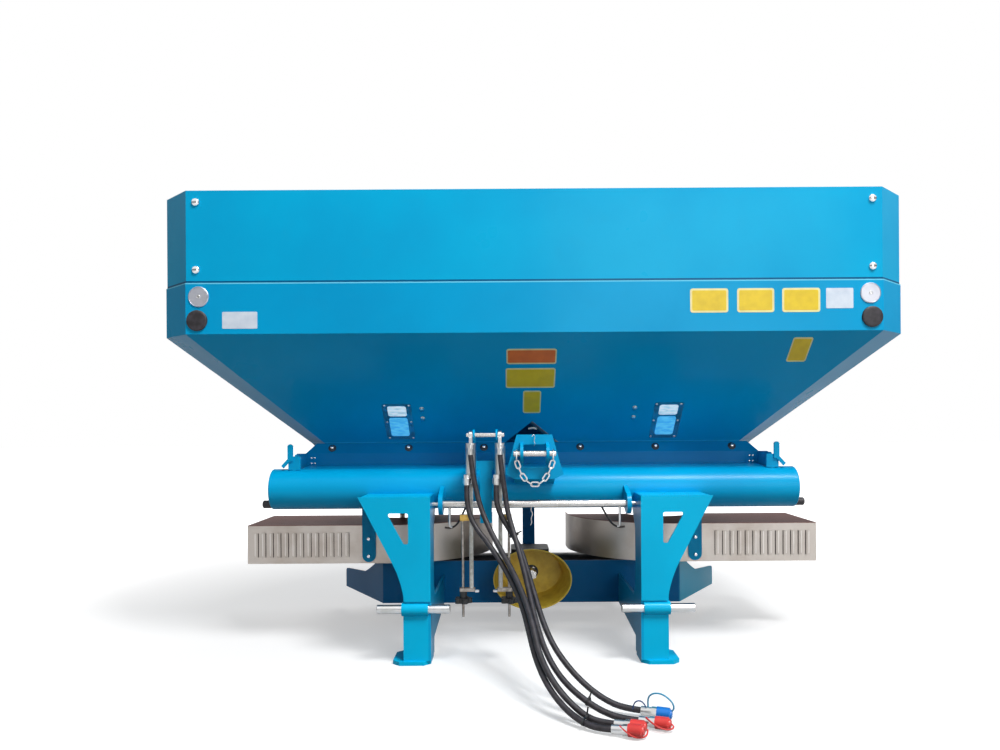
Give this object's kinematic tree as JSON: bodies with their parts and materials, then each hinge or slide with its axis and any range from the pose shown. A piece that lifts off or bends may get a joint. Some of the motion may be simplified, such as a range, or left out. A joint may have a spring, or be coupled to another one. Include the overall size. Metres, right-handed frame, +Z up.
{
  "type": "mounted fertiliser spreader",
  "caption": "Three-point mounted spreader: folded hopper with raised sides over outlet funnels, spinning discs under louvred guards, tube frame with legs, shutter cylinders and hoses",
  "frame": {"origin": "on the ground under the middle of the hopper", "axes": "+X across the machine to the right as seen from the tractor side, -Y towards the tractor, +Z up"},
  "size_m": [2.31, 1.8686, 1.4511],
  "materials": {
    "black_plastic": "satin",
    "black_rubber": "matte",
    "brass": "satin",
    "cast_gearbox": "satin",
    "clear_pane": "clear",
    "frame_paint": "gloss",
    "guard_plastic": "satin",
    "hopper_paint": "gloss",
    "machined_steel": "satin",
    "plated_steel": "satin",
    "stainless": "brushed",
    "white_plastic": "satin"
  },
  "bodies": {
    "chassis": {"beam_brackets": "frame_paint", "cross_shaft": "machined_steel", "cylinder_bracket": "frame_paint", "cylinder_pin": "machined_steel", "disc_gearboxes": "cast_gearbox", "disc_guard_left": "stainless", "disc_guard_right": "stainless", "drain_plugs": "black_rubber", "funnel_left": "hopper_paint", "funnel_right": "hopper_paint", "gearbox": "cast_gearbox", "guard_straps": "frame_paint", "hopper_beam_front": "frame_paint", "hopper_beam_rear": "frame_paint", "hopper_body": "hopper_paint", "hopper_extension": "hopper_paint", "hopper_ridge": "hopper_paint", "hose_1": "black_rubber", "hose_2": "black_rubber", "hose_3": "black_rubber", "hose_4": "black_rubber", "hose_couplers": "plated_steel", "latches": "frame_paint", "leg_left": "frame_paint", "leg_right": "frame_paint", "lower_cross_plate": "frame_paint", "lower_link_pins": "plated_steel", "main_tube": "frame_paint", "outlet_floors": "stainless", "pin_chain": "plated_steel", "pto_guard": "guard_plastic", "rear_frame": "frame_paint", "shutter_cylinders": "plated_steel", "side_plates": "frame_paint", "sieve_beam": "hopper_paint", "sight_windows": "clear_pane", "top_link_bracket": "frame_paint", "top_link_pin": "machined_steel", "tube_caps": "frame_paint"},
    "disc_left": {"disc_left": "stainless", "vanes_left": "stainless", "agitator_left": "stainless"},
    "disc_right": {"disc_right": "stainless", "vanes_right": "stainless", "agitator_right": "stainless"},
    "drive_stub": {"pto_shaft": "machined_steel"},
    "gate_left": {"gate_left": "stainless"},
    "shutter_rod_left": {"shutter_rod_left": "white_plastic", "adjuster_left": "brass", "adjuster_knob_left": "black_plastic"},
    "sieve_left": {"sieve_left": "stainless"},
    "gate_right": {"gate_right": "stainless"},
    "shutter_rod_right": {"shutter_rod_right": "white_plastic", "adjuster_right": "brass", "adjuster_knob_right": "black_plastic"},
    "sieve_right": {"sieve_right": "stainless"}
  },
  "joints": [
    {"name": "disc_left_spin", "type": "hinge", "parent": "chassis", "child": "disc_left", "pos_m": [-0.51, 0.15, 0.3], "axis": [0, 0, 1], "continuous": true},
    {"name": "disc_right_spin", "type": "hinge", "parent": "chassis", "child": "disc_right", "pos_m": [0.51, 0.15, 0.3], "axis": [0, 0, 1], "continuous": true},
    {"name": "drive_stub_spin", "type": "hinge", "parent": "chassis", "child": "drive_stub", "pos_m": [0, -0.1, 0.195], "axis": [0, -1, 0], "continuous": true},
    {"name": "shutter_rod_left_lift", "type": "slide", "parent": "chassis", "child": "shutter_rod_left", "axis": [0, 0, 1], "range_m": [0, 0.06]},
    {"name": "gate_left_swing", "type": "hinge", "parent": "chassis", "child": "gate_left", "pos_m": [-0.51, 0.15, 0.433], "axis": [0, 0, -1], "range_deg": [0, 76]},
    {"name": "shutter_rod_right_lift", "type": "slide", "parent": "chassis", "child": "shutter_rod_right", "axis": [0, 0, 1], "range_m": [0, 0.06]},
    {"name": "gate_right_swing", "type": "hinge", "parent": "chassis", "child": "gate_right", "pos_m": [0.51, 0.15, 0.433], "axis": [0, 0, 1], "range_deg": [0, 76]},
    {"name": "sieve_left_lift", "type": "hinge", "parent": "chassis", "child": "sieve_left", "pos_m": [-0.033, 0, 0.93], "axis": [0, 1, 0], "range_deg": [0, 80]},
    {"name": "sieve_right_lift", "type": "hinge", "parent": "chassis", "child": "sieve_right", "pos_m": [0.033, 0, 0.93], "axis": [0, -1, 0], "range_deg": [0, 80]}
  ],
  "couplings": [
    {"joint": "disc_right_spin", "follows": "disc_left_spin", "ratio": -1},
    {"joint": "drive_stub_spin", "follows": "disc_left_spin", "ratio": 0.6},
    {"joint": "gate_left_swing", "follows": "shutter_rod_left_lift", "rad_per_m": 22.107},
    {"joint": "gate_right_swing", "follows": "shutter_rod_right_lift", "rad_per_m": 22.107}
  ]
}
